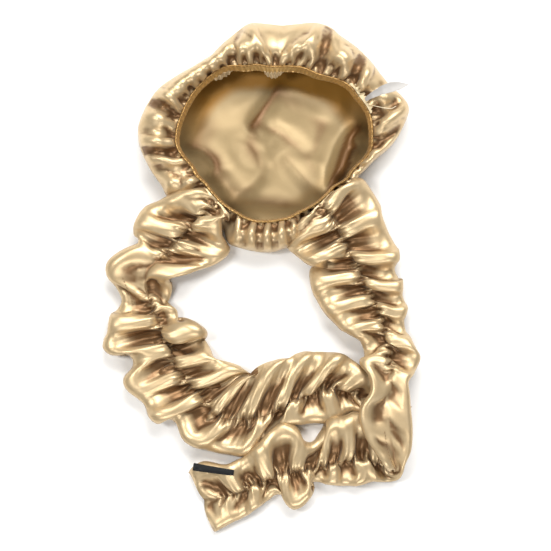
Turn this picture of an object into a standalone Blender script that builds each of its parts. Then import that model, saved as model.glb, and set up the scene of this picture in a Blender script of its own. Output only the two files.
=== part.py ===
"""Satin sleep bonnet with two shirred ties, lying on its back with its mouth up.

Metres, +Z up. The origin lies on the surface that the bonnet rests on, under the middle of the whole outline.
+Y runs from the ties' crossing to the top of the bonnet. The tables give sizes in millimetres.
"""

import math
from collections import namedtuple

import bmesh
import bpy
import numpy as np

MM = 0.001

# ---------------------------------------------------------------- driving sizes, in millimetres
CLOTH_WALL = 1.5            # a satin wall, with its turned edges
BAND_HEIGHT = 9.0           # the elastic casing round the mouth
BAND_WALL = 2.0
SEAM_GAP = 0.9              # clear space between two sewn pieces
SEAM_DEPTH = 0.42           # how far down the band the crown is sewn on, as a share of its height
BONNET_X, BONNET_Y = 11.0, 143.0

CROWN_FOLDS = 18            # gathers round the mouth
SEGMENTS_A_FOLD = 6
FOLD_WANDER = 0.9           # how unevenly the gathers are spaced, in radians
SIDE_SCALLOP = 0.7          # how far a gather pushes the widest edge out, against how far it rises

TIE_STATIONS = 118          # grid lines along a tie, from its sewn end to its free end
TIE_LINES = 6               # strips across a tie
RUFFLE_PITCH = 27.0         # along the seam, from one fold's crest to the next
RUFFLE_SLANT = 0.9          # how much a fold leans along the tie on its way out, in radians
RIGHT_SHIFT = 2.2           # how far the right side's folds lie out of step with the left side's, in radians
RUFFLE_CURVE = 1.2          # how a fold grows on its way out: 1 is a straight slope
FULL_RUFFLE = 16.0          # how high the tallest folds rise and fall at the folded edges
HEM_SCALLOP = 0.08          # how far a full fold draws the edge in and out, as a share of the width

LABEL_LENGTH, LABEL_WALL = 50.0, 1.0
TAB_WIDTH, TAB_WALL = 8.5, 1.4
RIBBON_STATIONS = 12

# ---------------------------------------------------------------- shape tables, in degrees and millimetres

# Round the bonnet, counter-clockwise from +X: the mouth's radius, the widest radius, the band's height above the
# surface, the height of the puffed cloth outside it, the size of its gathers and how far the band leans inwards.
Round = namedtuple("Round", "angle mouth edge rise puff gather lean")
BONNET_ROUND = (
    Round(0, 110.5, 134.0, 38, 44, 3.6, 20),
    Round(15, 112.5, 155.0, 39, 46, 3.8, 22),
    Round(32, 107.5, 145.0, 40, 48, 4.2, 28),
    Round(60, 91.0, 146.0, 40, 50, 4.8, 38),
    Round(90, 84.5, 132.5, 40, 50, 4.6, 46),
    Round(105, 89.0, 136.0, 40, 50, 4.6, 44),
    Round(125, 99.0, 120.0, 40, 46, 3.4, 34),
    Round(150, 101.5, 136.0, 39, 47, 4.0, 26),
    Round(178, 104.0, 145.5, 38, 46, 4.2, 22),
    Round(200, 89.5, 132.0, 37, 38, 3.0, 18),
    Round(214, 84.0, 113.0, 36, 22, 1.0, 14),
    Round(241, 85.0, 109.0, 36, 21, 1.0, 14),
    Round(256, 87.0, 114.0, 35, 38, 3.0, 14),
    Round(280, 84.5, 117.5, 35, 39, 3.2, 14),
    Round(294, 82.0, 109.0, 36, 22, 1.0, 14),
    Round(323, 83.5, 104.0, 37, 22, 1.0, 14),
    Round(338, 93.0, 108.0, 38, 38, 2.0, 16),
)

# From the mouth seam over the puffed side and in under it to the middle of the base: the radius as shares of the
# mouth's and the widest one, the height as shares of the band's and the puff's, and the share of the gathers.
Ring = namedtuple("Ring", "name of_mouth of_edge of_rise of_puff gather")
CROWN_RINGS = (
    Ring("seam", 1.00, 0.00, 1.00, 0.00, 0.00),
    Ring("neck", 0.82, 0.18, 0.72, 0.28, 0.45),
    Ring("crest", 0.54, 0.46, 0.00, 1.00, 1.00),
    Ring("shoulder", 0.17, 0.83, 0.00, 0.80, 0.90),
    Ring("side", 0.00, 1.00, 0.00, 0.42, 0.60),
    Ring("heel", 0.00, 0.96, 0.00, 0.07, 0.25),
    Ring("base_edge", 0.00, 0.88, 0.00, 0.00, 0.00),
    Ring("base_middle", 0.00, 0.56, 0.00, 0.00, 0.00),
    Ring("base_centre", 0.00, 0.00, 0.00, 0.00, 0.00),
)

# Along a tie's shirred seam, from the band to the free end: the seam's place and height, the cloth's reach to the
# left and to the right of it, and the height of its ruffles.
Cut = namedtuple("Cut", "x y height left right ruffle")
LEFT_TIE = (
    Cut(-47.2, 79.4, 35.4, 18, 17, 0),
    Cut(-60, 67, 35, 29, 25, 2),
    Cut(-79, 51, 27, 37, 33, 7),
    Cut(-106, 33, 18, 40, 31, 13),
    Cut(-130, 8, 15, 36, 34, 15),
    Cut(-131, -24, 15, 33, 38, 16),
    Cut(-116, -51, 15, 44, 46, 16),
    Cut(-105, -82, 15, 42, 48, 16),
    Cut(-89, -112, 15, 42, 50, 16),
    Cut(-63, -138, 15, 44, 44, 16),
    Cut(-30, -151, 15, 40, 36, 15),
    Cut(0, -151, 15, 44, 28, 14),
    Cut(29, -141, 15, 47, 24, 14),
    Cut(55, -134, 14, 47, 24, 12),
    Cut(80, -130, 11, 42, 24, 8),
    Cut(107, -135, 8, 30, 24, 4.5),
    Cut(135, -150, 6, 22, 20, 3),
    Cut(159, -172, 6, 12, 12, 2.5),
)
RIGHT_TIE = (
    Cut(63.4, 76.6, 36.3, 17, 18, 0),
    Cut(74, 63, 35, 29, 28, 2),
    Cut(87, 44, 27, 44, 42, 7),
    Cut(102, 15, 18, 47, 44, 14),
    Cut(118, -20, 15, 37, 46, 16),
    Cut(130, -49, 16, 31, 42, 16),
    Cut(138, -76, 20, 31, 36, 15),
    Cut(144, -109, 31, 20, 30, 8),
    Cut(148, -142, 33, 20, 31, 8),
    Cut(149, -178, 29, 20, 30, 9),
    Cut(130, -204, 19, 25, 26, 13),
    Cut(99, -203, 15, 28, 38, 16),
    Cut(65, -197, 15, 34, 32, 16),
    Cut(33, -202, 15, 44, 28, 16),
    Cut(7, -221, 15, 32, 34, 15),
    Cut(-19, -235, 12, 27, 37, 3.5),
    Cut(-41, -243, 10, 34, 42, 2),
    Cut(-65, -247, 9, 32, 44, 1.5),
)

# The care label's way out from the band: how far along it, how high and how wide.
Stage = namedtuple("Stage", "share height width")
CARE_LABEL = (
    Stage(0.00, 41.0, 6.0),
    Stage(0.14, 48.0, 7.0),
    Stage(0.34, 55.0, 9.0),
    Stage(0.60, 57.0, 9.0),
    Stage(0.84, 57.5, 8.0),
    Stage(1.00, 57.0, 1.5),
)
LABEL_ANGLE = 27.0          # on the bonnet, in degrees
LABEL_HEADING = 14.0        # the way that it points, in degrees from +X
TAB_FROM, TAB_TO = 0.992, 0.905     # shares of the right tie's length
TAB_SIDES = -0.83, -0.56    # shares of the way out to its right edge
TAB_LIFT = 1.2              # clear of the tie's own cloth


# ---------------------------------------------------------------- shared helpers


def eased(share):
    return share * share * (3 - 2 * share)


def round_at(angle):
    """The row of BONNET_ROUND at this angle in degrees, blended between its two neighbours."""
    angle %= 360
    rows = BONNET_ROUND + (BONNET_ROUND[0]._replace(angle=360),)
    for low, high in zip(rows, rows[1:]):
        if angle <= high.angle:
            share = eased((angle - low.angle) / (high.angle - low.angle))
            return Round(*((1 - share) * a + share * b for a, b in zip(low, high)))
    return rows[-1]


def band_line(angle, down):
    """Radius and height on the band's middle surface, a share of the way down from its top edge."""
    here = round_at(angle)
    lean = math.radians(here.lean)
    depth = down * BAND_HEIGHT
    return here.mouth - depth * math.sin(lean), here.rise - depth * math.cos(lean)


def on_bonnet(radius, angle, height):
    turn = math.radians(angle)
    x = BONNET_X + radius * math.cos(turn)
    y = BONNET_Y + radius * math.sin(turn)
    return (x * MM, y * MM, height * MM)


def add_object(name, mesh, material, wall):
    """Puts the mesh in the bonnet's collection as a wall of cloth of this thickness."""
    obj = bpy.data.objects.new(name, mesh)
    bonnet.objects.link(obj)
    mesh.materials.append(material)
    mesh.shade_smooth()
    solidify = obj.modifiers.new("wall", "SOLIDIFY")
    solidify.thickness = wall * MM
    solidify.offset = 0


def cloth_grid(name, along, across, place):
    """A flat grid of cloth, with each of its corners moved to place(share along, side from -1 to 1)."""
    mesh = bpy.data.meshes.new(name)
    sheet = bmesh.new()
    bmesh.ops.create_grid(sheet, x_segments=along, y_segments=across, size=1)
    for corner in sheet.verts:
        corner.co = place((corner.co.x + 1) / 2, corner.co.y)
    sheet.to_mesh(mesh)
    sheet.free()
    return mesh


def plain_material(name, colour, roughness):
    material = bpy.data.materials.new(name)
    material.use_nodes = True
    shader = material.node_tree.nodes["Principled BSDF"]
    shader.inputs["Base Color"].default_value = (*colour, 1)
    shader.inputs["Roughness"].default_value = roughness
    shader.inputs["Metallic"].default_value = 0
    return material


# ---------------------------------------------------------------- crown: one round cut, gathered into a bag


def crown_gather(angle):
    """The wave of the gathers at this angle, from -1 to 1."""
    turn = math.radians(angle)
    wander = math.sin(3 * turn + 0.6) + 0.6 * math.sin(5 * turn + 2.1)
    return math.cos(CROWN_FOLDS * turn + FOLD_WANDER * wander)


def crown_point(ring, angle):
    """Where the round cut of satin lies, on this ring and at this angle."""
    here = round_at(angle)
    if ring.name == "seam":
        lean = math.radians(here.lean)
        clear = BAND_WALL / 2 + SEAM_GAP + CLOTH_WALL / 2
        radius, height = band_line(angle, SEAM_DEPTH)
        return on_bonnet(radius + clear * math.cos(lean), angle, height - clear * math.sin(lean))
    wave = crown_gather(angle) * ring.gather * here.gather
    radius = ring.of_mouth * here.mouth + ring.of_edge * here.edge
    height = ring.of_rise * here.rise + ring.of_puff * here.puff
    if ring.name in ("side", "heel"):
        radius += SIDE_SCALLOP * wave
    else:
        height += wave
    return on_bonnet(radius, angle, height + CLOTH_WALL / 2)


def make_crown(material):
    sheet = bmesh.new()
    line = [sheet.verts.new((radius, 0, 0)) for radius in range(len(CROWN_RINGS))]
    for inner, outer in zip(line, line[1:]):
        sheet.edges.new((inner, outer))
    steps = CROWN_FOLDS * SEGMENTS_A_FOLD
    bmesh.ops.spin(
        sheet, geom=sheet.verts[:] + sheet.edges[:], cent=(0, 0, 0), axis=(0, 0, 1), dvec=(0, 0, 0),
        angle=math.tau, steps=steps, use_merge=True,
    )
    bmesh.ops.remove_doubles(sheet, verts=sheet.verts, dist=MM)
    last = len(CROWN_RINGS) - 1
    for corner in sheet.verts:
        ring = CROWN_RINGS[last - round(corner.co.xy.length)]
        angle = math.degrees(math.atan2(corner.co.y, corner.co.x))
        corner.co = crown_point(ring, angle)
    bmesh.ops.recalc_face_normals(sheet, faces=sheet.faces)
    mesh = bpy.data.meshes.new("crown")
    sheet.to_mesh(mesh)
    sheet.free()
    add_object("crown", mesh, material, CLOTH_WALL)


# ---------------------------------------------------------------- band: the elastic casing round the mouth


def make_band(material):
    sheet = bmesh.new()
    steps = CROWN_FOLDS * SEGMENTS_A_FOLD
    top = bmesh.ops.create_circle(sheet, segments=steps, radius=1)["verts"]
    edges = {edge for corner in top for edge in corner.link_edges}
    low = bmesh.ops.extrude_edge_only(sheet, edges=list(edges))["geom"]
    bottom = {item for item in low if isinstance(item, bmesh.types.BMVert)}
    for corner in sheet.verts:
        angle = math.degrees(math.atan2(corner.co.y, corner.co.x))
        radius, height = band_line(angle, 1 if corner in bottom else 0)
        corner.co = on_bonnet(radius, angle, height)
    bmesh.ops.recalc_face_normals(sheet, faces=sheet.faces)
    mesh = bpy.data.meshes.new("band")
    sheet.to_mesh(mesh)
    sheet.free()
    add_object("band", mesh, material, BAND_WALL)


# ---------------------------------------------------------------- ties: satin tubes shirred down the middle


def tie_line(cuts, steps=600):
    """The tie's seam as arrays by length: a smooth curve through its cuts, with every column of the table."""
    rows = np.array(cuts, float)
    rows = np.vstack([2 * rows[0] - rows[1], rows, 2 * rows[-1] - rows[-2]])
    knots = np.linspace(0, len(cuts) - 1, steps)
    found = np.minimum(knots.astype(int), len(cuts) - 2)
    share = (knots - found)[:, None]
    before, low, high, after = (rows[found + step] for step in range(4))
    curve = 0.5 * (
        2 * low + (high - before) * share + (2 * before - 5 * low + 4 * high - after) * share**2
        + (3 * low - before - 3 * high + after) * share**3
    )
    travelled = np.concatenate([[0], np.cumsum(np.hypot(*np.diff(curve[:, :2], axis=0).T))])
    return travelled, curve


def tie_point(line, share, side, lift=0.0):
    """A point of the tie's cloth: a share of its length along the seam, and from its right edge at -1 to its
    left one at 1, lifted off the cloth by so many millimetres."""
    travelled, curve = line
    length = share * travelled[-1]
    here = Cut(*(np.interp(length, travelled, column) for column in curve.T))
    back, ahead = (
        [np.interp(length + step, travelled, curve[:, axis]) for axis in (0, 1)] for step in (-2, 2)
    )
    heading = math.atan2(ahead[1] - back[1], ahead[0] - back[0])
    turn = math.tau * length / RUFFLE_PITCH
    turn += 0.8 * math.sin(0.31 * turn + 0.4) + 0.5 * math.sin(0.47 * turn + 2.0)   # no two folds are alike
    if side < 0:
        turn += RIGHT_SHIFT
    wave = math.sin(turn - RUFFLE_SLANT * abs(side))
    scallop = HEM_SCALLOP * here.ruffle / FULL_RUFFLE * math.cos(turn)
    reach = side * (here.left if side > 0 else here.right) * (1 + scallop)
    height = here.height + here.ruffle * abs(side) ** RUFFLE_CURVE * wave
    x = here.x - reach * math.sin(heading)
    y = here.y + reach * math.cos(heading)
    return (x * MM, y * MM, (max(height, CLOTH_WALL / 2) + lift) * MM)


def make_tie(name, cuts, material):
    line = tie_line(cuts)
    mesh = cloth_grid(name, TIE_STATIONS, TIE_LINES, lambda share, side: tie_point(line, share, side))
    add_object(name, mesh, material, CLOTH_WALL)


# ---------------------------------------------------------------- the two small ribbons


def label_point(share, side):
    """A point of the care label: it rises from the band over the gathers, and ends past the crown's edge."""
    columns = np.array(CARE_LABEL).T
    height, width = (np.interp(share, columns[0], column) for column in columns[1:])
    heading = math.radians(LABEL_HEADING)
    turn = math.radians(LABEL_ANGLE)
    root = round_at(LABEL_ANGLE).mouth + BAND_WALL + SEAM_GAP
    x = BONNET_X + root * math.cos(turn) + share * LABEL_LENGTH * math.cos(heading)
    y = BONNET_Y + root * math.sin(turn) + share * LABEL_LENGTH * math.sin(heading)
    reach = side * width / 2
    return ((x - reach * math.sin(heading)) * MM, (y + reach * math.cos(heading)) * MM, height * MM)


def make_care_label(material):
    add_object("care_label", cloth_grid("care_label", RIBBON_STATIONS, 1, label_point), material, LABEL_WALL)


def make_end_tab(material):
    """The ribbon tab on the smooth end of the right tie."""
    line = tie_line(RIGHT_TIE)
    half = TAB_WIDTH / 2 / RIGHT_TIE[-1].right
    lift = (CLOTH_WALL + TAB_WALL) / 2 + TAB_LIFT

    def place(share, side):
        along = TAB_FROM + share * (TAB_TO - TAB_FROM)
        across = TAB_SIDES[0] + share * (TAB_SIDES[1] - TAB_SIDES[0])
        return tie_point(line, along, across + side * half, lift)

    add_object("end_tab", cloth_grid("end_tab", RIBBON_STATIONS, 1, place), material, TAB_WALL)


# ---------------------------------------------------------------- build


for old in list(bpy.data.objects):
    bpy.data.objects.remove(old)

bonnet = bpy.data.collections.new("sleep_bonnet")
bpy.context.scene.collection.children.link(bonnet)

make_crown(plain_material("champagne_satin", (0.50, 0.33, 0.17), 0.30))
make_band(plain_material("champagne_satin_casing", (0.56, 0.39, 0.21), 0.34))
make_tie("left_tie", LEFT_TIE, plain_material("champagne_satin_left", (0.52, 0.35, 0.18), 0.28))
make_tie("right_tie", RIGHT_TIE, plain_material("champagne_satin_right", (0.52, 0.35, 0.18), 0.28))
make_care_label(plain_material("white_ribbon", (0.87, 0.86, 0.84), 0.45))
make_end_tab(plain_material("black_ribbon", (0.01, 0.01, 0.012), 0.40))
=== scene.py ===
"""Satin sleep bonnet with two shirred ties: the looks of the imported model, in the same frame.

The bonnet lies on its back with its mouth up. A small cloth solver folds the cloth, in millimetres.
"""

import math

import bpy
import numpy as np
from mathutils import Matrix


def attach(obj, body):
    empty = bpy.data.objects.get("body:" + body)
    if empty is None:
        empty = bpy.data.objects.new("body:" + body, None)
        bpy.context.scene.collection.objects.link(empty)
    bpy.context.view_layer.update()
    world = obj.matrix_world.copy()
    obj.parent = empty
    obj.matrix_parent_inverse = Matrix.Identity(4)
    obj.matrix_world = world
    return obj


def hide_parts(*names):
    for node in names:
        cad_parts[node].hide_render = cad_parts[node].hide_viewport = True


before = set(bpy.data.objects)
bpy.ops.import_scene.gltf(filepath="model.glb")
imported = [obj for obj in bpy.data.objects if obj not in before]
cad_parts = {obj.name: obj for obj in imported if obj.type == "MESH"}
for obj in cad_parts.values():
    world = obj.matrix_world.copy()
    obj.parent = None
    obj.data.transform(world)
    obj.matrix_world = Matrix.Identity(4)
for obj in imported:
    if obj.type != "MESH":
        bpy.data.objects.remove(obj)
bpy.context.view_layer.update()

# -------------------------------------------------------------------------------- table, light, camera
# The bonnet lies on a plain white table and is seen from above, in the soft light of a broad window
# behind it, with a lamp at the left and a weak one in front. They draw the bright streaks on its folds.

LENS_HEIGHT, FRAME_WIDTH = 1.75, 0.6061     # metres
FRAME_MIDDLE_X, FRAME_MIDDLE_Y, FRAME_MIDDLE_Z = 0.0160, 0.0, 0.012
TILT = 3.0                                  # degrees off straight down, towards the ties
SENSOR_WIDTH = 36                           # millimetres
MIXED = {"data_type": "RGBA"}               # a Mix node of two colours: share i0, colours i6 and i7


def linear(hexcode):
    """An sRGB hex colour as the linear RGBA that Blender's sockets take."""
    parts = [int(hexcode[k:k + 2], 16) / 255 for k in (0, 2, 4)]
    return tuple(c / 12.92 if c <= 0.04045 else ((c + 0.055) / 1.055) ** 2.4 for c in parts) + (1.0,)


def node(material, kind, settings=None, into=None, **inputs):
    """Adds one node. settings are its own fields. inputs are values or other nodes' outputs, by the
    socket's name with _ for a space, or by i and its number. into is the socket that it feeds."""
    made = material.node_tree.nodes.new("ShaderNode" + kind)
    for name, value in (settings or {}).items():
        setattr(made, name, value)
    for name, value in inputs.items():
        numbered = name[0] == "i" and name[1:].isdigit()
        socket = made.inputs[int(name[1:]) if numbered else name.replace("_", " ")]
        if isinstance(value, bpy.types.NodeSocket):
            material.node_tree.links.new(value, socket)
        else:
            socket.default_value = value
    if into is not None:
        material.node_tree.links.new(made.outputs[2 if kind == "Mix" else 0], into)
    return made


def new_material(name):
    material = bpy.data.materials.new(name)
    material.use_nodes = True
    return material, material.node_tree.nodes["Principled BSDF"]


def in_scene(name, data):
    holder = bpy.data.objects.new(name, data)
    bpy.context.scene.collection.objects.link(holder)
    return holder


def lamp(name, place, aim, size, watts):
    """A soft lamp at place, turned towards aim, all in metres."""
    light = bpy.data.lights.new(name, "AREA")
    light.shape = "RECTANGLE"
    light.size, light.size_y = size
    light.energy = watts
    holder = in_scene(name, light)
    holder.location = place
    way = np.array(aim) - np.array(place)
    down = math.acos(-way[2] / np.linalg.norm(way))
    holder.rotation_euler = (down, 0, math.atan2(way[0], -way[1]) + math.pi)


bpy.ops.object.select_all(action="DESELECT")
bpy.ops.mesh.primitive_plane_add(size=5, location=(0, 0, 0))
floor = bpy.context.object
floor.name = "table_top"
# matt white paint, so faintly mottled that it only keeps the table from looking blank
painted, shader = new_material("white_painted_table")
speckle = node(painted, "TexNoise", None, Scale=40.0, Detail=3.0)
node(painted, "Mix", MIXED, shader.inputs["Base Color"], i0=speckle.outputs["Fac"], i6=linear("f6f5f3"),
     i7=linear("f3f2f0"))
shader.inputs["Roughness"].default_value = 0.75
floor.data.materials.append(painted)

world = bpy.data.worlds.new("studio")
bpy.context.scene.world = world
world.use_nodes = True
world.node_tree.nodes["Background"].inputs["Color"].default_value = linear("fdfbf7")
world.node_tree.nodes["Background"].inputs["Strength"].default_value = 0.2

lamp("window", (0.4, 1.2, 1.4), (0, 0.02, 0), (1.7, 0.9), 46.0)
lamp("lamp_overhead", (-0.9, 0.1, 1.5), (0, 0.02, 0), (0.3, 0.7), 15.0)
lamp("lamp_low", (0.2, -1.35, 1.0), (0, -0.05, 0), (1.1, 0.3), 12.0)

camera = bpy.data.cameras.new("camera")
camera_holder = in_scene("camera", camera)
lean = math.radians(TILT)
camera_holder.location = (
    FRAME_MIDDLE_X,
    FRAME_MIDDLE_Y - LENS_HEIGHT * math.sin(lean),
    LENS_HEIGHT * math.cos(lean) + FRAME_MIDDLE_Z,
)
camera_holder.rotation_euler = (lean, 0, 0)
camera.sensor_width = SENSOR_WIDTH
camera.lens = SENSOR_WIDTH * LENS_HEIGHT / FRAME_WIDTH
camera.clip_end = 20
bpy.context.scene.camera = camera_holder
bpy.context.scene.view_settings.view_transform = "Standard"

# -------------------------------------------------------------------------------- crown
# One round cut of champagne polyester satin, gathered on its whole rim into the band's casing. It lies
# on its back: the gathers puff up and outwards round the mouth, and the middle lies flat on the table.

BONNET_X, BONNET_Y = 11.0, 143.0            # millimetres, as all that the cloth solver reads
CROWN_COLUMNS, CROWN_RINGS = 400, 60
GATHER = 6                                  # cells of the grid to one gather of a sewn edge
LAYER_GAP = 2.3                             # two layers of satin lie no nearer than this
WATCHED, APART = 1.5, 1.9                   # in gaps: pairs to watch, and cloth between a pair's points
SOLVER_STEPS, PASSES, DRAG, WEIGHT, TOP_SPEED = 240, 5, 0.94, 0.05, 1.5
ON_TABLE, RESTING, LAID = 0.9, 1.2, 0.95    # heights of cloth: lowest, slowed by the table, as laid out
SLIDING = 0.2                               # the speed that the table leaves to cloth lying on it
SEWN_AT = 9.0 * 0.42                        # how far down the band the crown's rim is sewn
RIM_GROWTH_STEPS, RIM_SIZE = 150, 1.35      # the gathers at a sewn edge: solver steps to grow, and size
MIDDLE = 0.1                                # radius of the base's middle, as a share of the outline's
INWARDS = 0.72                              # a ring that closes the base, as a share of the one before

# Angle, the mouth's radius, the band's height, the puff's height, the lean of the band.
ROUND = np.array([
    (0, 110.5, 38, 44, 20), (15, 112.5, 39, 46, 22), (32, 107.5, 40, 48, 28), (60, 91.0, 40, 50, 38),
    (90, 84.5, 40, 50, 46), (105, 89.0, 40, 50, 44), (125, 99.0, 40, 46, 34),
    (150, 101.5, 39, 47, 26), (178, 104.0, 38, 46, 22), (200, 89.5, 37, 38, 18),
    (214, 84.0, 36, 22, 14), (241, 85.0, 36, 21, 14), (256, 87.0, 35, 38, 14),
    (280, 84.5, 35, 39, 14), (294, 82.0, 36, 22, 14), (323, 83.5, 37, 22, 14),
    (338, 93.0, 38, 38, 16), (360, 110.5, 38, 44, 20),
])
# From the rim over the puff and in under it: shares of the mouth's and the outline's radius, and of the
# band's and the puff's height.
OVER_THE_PUFF = (
    (1.00, 0.00, 1.00, 0.00), (0.82, 0.18, 0.72, 0.28), (0.54, 0.46, 0.00, 1.00), (0.17, 0.83, 0.00, 0.80),
    (0.00, 1.00, 0.00, 0.42), (0.00, 0.96, 0.00, 0.07), (0.00, 0.88, 0.00, 0.00), (0.00, 0.56, 0.00, 0.00),
    (0.00, 0.10, 0.00, 0.00),
)
# The outline seen from above: angle and radius, with soft corners where the cloth stands out in a fold.
OUTLINE = np.array([
    (1, 135), (8, 147), (15, 159), (21, 154), (26, 147), (33, 144), (47, 144), (58, 143), (63, 147),
    (70, 145), (77, 138), (85, 133), (93, 135), (100, 138), (105, 133), (111, 127), (124, 118),
    (136, 122), (146, 131), (153, 139), (162, 144), (172, 148), (180, 145), (187, 139), (193, 134),
    (200, 128), (207, 128), (218, 113), (240, 104), (246, 118), (262, 118), (270, 118), (281, 113),
    (298, 98), (319, 101), (341, 102), (352, 115),
])
# Folds of the puff: rise or dip, its breadth to the left and to the right, and the line that it follows.
PUFF_FOLDS = (
    (9, 4, 10, ((-13, 277), (-4, 255), (12, 227))), (9, 10, 4, ((67, 277), (53, 255), (32, 242), (19, 227))),
    (-6, 16, 16, ((26, 279), (25, 240))), (-8, 4, 4, ((-22, 275), (-28, 248), (-38, 216))),
    (-9, 4, 4, ((76, 279), (69, 244), (64, 212))), (6, 6, 8, ((-9, 253), (-15, 216))),
    (6, 5, 6, ((54, 255), (56, 216))), (9, 14, 14, ((-17, 262), (-49, 229), (-60, 210))),
    (8, 10, 10, ((84, 270), (84, 223))), (9, 5, 5, ((93, 249), (89, 195))),
    (-9, 4, 4, ((115, 247), (104, 218), (94, 193))), (9, 4, 4, ((120, 236), (103, 188))),
    (-6, 7, 7, ((137, 216), (113, 188))), (-9, 8, 8, ((155, 189), (118, 175))),
    (9, 5, 5, ((170, 187), (142, 170), (114, 149))), (-12, 5, 5, ((155, 164), (134, 147), (112, 128))),
    (9, 5, 5, ((157, 159), (142, 138), (109, 117))), (8, 14, 12, ((-64, 227), (-89, 203), (-105, 186))),
    (9, 4, 4, ((-122, 202), (-100, 189), (-79, 171))), (-10, 6, 6, ((-128, 193), (-106, 183), (-81, 170))),
    (8, 8, 12, ((-138, 175), (-114, 171), (-92, 159))), (-5, 8, 8, ((-137, 158), (-94, 154))),
    (9, 4, 6, ((-139, 150), (-118, 143), (-89, 142))), (-11, 5, 6, ((-135, 135), (-107, 134), (-83, 133))),
    (8, 4, 5, ((-135, 127), (-111, 127), (-85, 119))), (-6, 8, 8, ((-122, 118), (-98, 113), (-79, 101))),
    (10, 10, 10, ((-88, 78), (-76, 100), (-71, 115))), (6, 8, 8, ((-111, 84), (-92, 106))),
    (7, 6, 6, ((-24, 58), (-32, 24))), (8, 7, 6, ((-9, 56), (-11, 22))), (6, 6, 6, ((5, 56), (8, 18))),
    (8, 7, 7, ((20, 56), (26, 22))), (7, 5, 5, ((34, 61), (42, 28))), (-5, 3, 3, ((-17, 61), (-22, 22))),
    (-6, 3, 3, ((-2, 61), (-1, 20))), (-5, 3, 3, ((12, 61), (16, 20))), (-6, 3, 3, ((28, 63), (35, 26))),
)
# Folds of the base, where the round of cloth lies on the table inside the mouth.
BASE_FOLDS = (
    (3.5, 11, 6, ((-41, 69), (-25, 91), (-12, 99), (-3, 110), (-1, 121), (-6, 135), (-14, 144), (-32, 152))),
    (4, 12, 4, ((-90, 149), (-64, 140), (-52, 130), (-48, 119), (-59, 104))),
    (5, 9, 4, ((22, 218), (12, 197), (3, 184), (-14, 160))),
    (4, 7, 14, ((-17, 165), (10, 161), (24, 153), (37, 143), (49, 130), (57, 115), (71, 82))),
    (2.5, 4, 8, ((21, 135), (40, 115), (70, 84))),
    (8, 6, 3.5, ((114, 170), (98, 153), (90, 139), (84, 122), (73, 84))),
    (7, 4, 3.5, ((111, 147), (99, 138), (95, 126), (85, 104))),
    (3, 14, 6, ((-43, 75), (-18, 83), (1, 83), (26, 80), (56, 79))),
    (2.5, 12, 12, ((-76, 168), (-40, 162), (8, 163))), (2, 18, 16, ((21, 192), (54, 188), (93, 172))),
    (2, 7, 9, ((70, 177), (63, 154), (56, 128))),
)
real = np.float32


def walked(steps):
    """How far along a line each point lies, from the lengths of its steps."""
    return np.concatenate([[0], np.cumsum(steps)])


def lengths(vectors):
    """How long each vector is, their x, y and z lying along the first axis."""
    return np.sqrt((vectors ** 2).sum(0))


def round_at(degrees):
    """The columns of ROUND, smoothly between its rows, at each of the angles."""
    degrees = np.asarray(degrees, float) % 360
    k = np.clip(np.searchsorted(ROUND[:, 0], degrees, side="right") - 1, 0, len(ROUND) - 2)
    low, high = ROUND[k], ROUND[k + 1]
    share = (degrees - low[:, 0]) / (high[:, 0] - low[:, 0])
    share = (share * share * (3 - 2 * share))[:, None]
    return (low * (1 - share) + high * share).T


def smooth_line(points, steps):
    """A smooth curve through points, steps to each span, along the first axis."""
    points = np.asarray(points, float)
    ends = np.concatenate([2 * points[:1] - points[1:2], points, 2 * points[-1:] - points[-2:-1]])
    t = (np.arange(steps) / steps).reshape((-1,) + (1,) * (points.ndim - 1))
    line = []
    for a, b, c, d in zip(ends, ends[1:], ends[2:], ends[3:]):
        curved = (2 * a - 5 * b + 4 * c - d) * t ** 2
        line.append(0.5 * (2 * b + (c - a) * t + curved + (3 * b - a - 3 * c + d) * t ** 3))
    return np.concatenate(line + [points[-1:]])


def fold_height(x, y, folds, crisp):
    """What a table of folds adds to the cloth's height. crisp is how broad their crests are, as a share."""
    total = np.zeros_like(x)
    for rise, left, right, line in folds:
        nearest, breadth, along = np.full(x.shape, 1e9), np.ones(x.shape), np.zeros(x.shape)
        length = 0.0
        for (ax, ay), (bx, by) in zip(line, line[1:]):
            run = math.hypot(bx - ax, by - ay)
            share = np.clip(((x - ax) * (bx - ax) + (y - ay) * (by - ay)) / run ** 2, 0, 1)
            away = np.hypot(x - ax - share * (bx - ax), y - ay - share * (by - ay))
            to_left = (bx - ax) * (y - ay) - (by - ay) * (x - ax) > 0
            closer = away < nearest
            nearest = np.where(closer, away, nearest)
            breadth = np.where(closer, np.where(to_left, left, right), breadth)
            along = np.where(closer, length + share * run, along)
            length += run
        ending = np.clip(np.minimum(along, length - along) / (0.3 * length), 0, 1)
        total += rise * np.exp(crisp - np.hypot(nearest / breadth, crisp)) * ending * (2 - ending)
    return total


def pull(a, b, free_a, free_b, rest, share, only_push=False):
    """Moves two blocks of points towards their rest length, by a share of what is missing."""
    d = b - a
    length = np.sqrt(np.einsum("i...,i...->...", d, d)) + real(1e-9)
    free = free_a + free_b
    c = length - rest
    if only_push:
        c = np.minimum(c, 0)
    c *= real(share)
    c /= length * np.where(free > 0, free, 1)
    a += d * (c * free_a)
    b -= d * (c * free_b)


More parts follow.
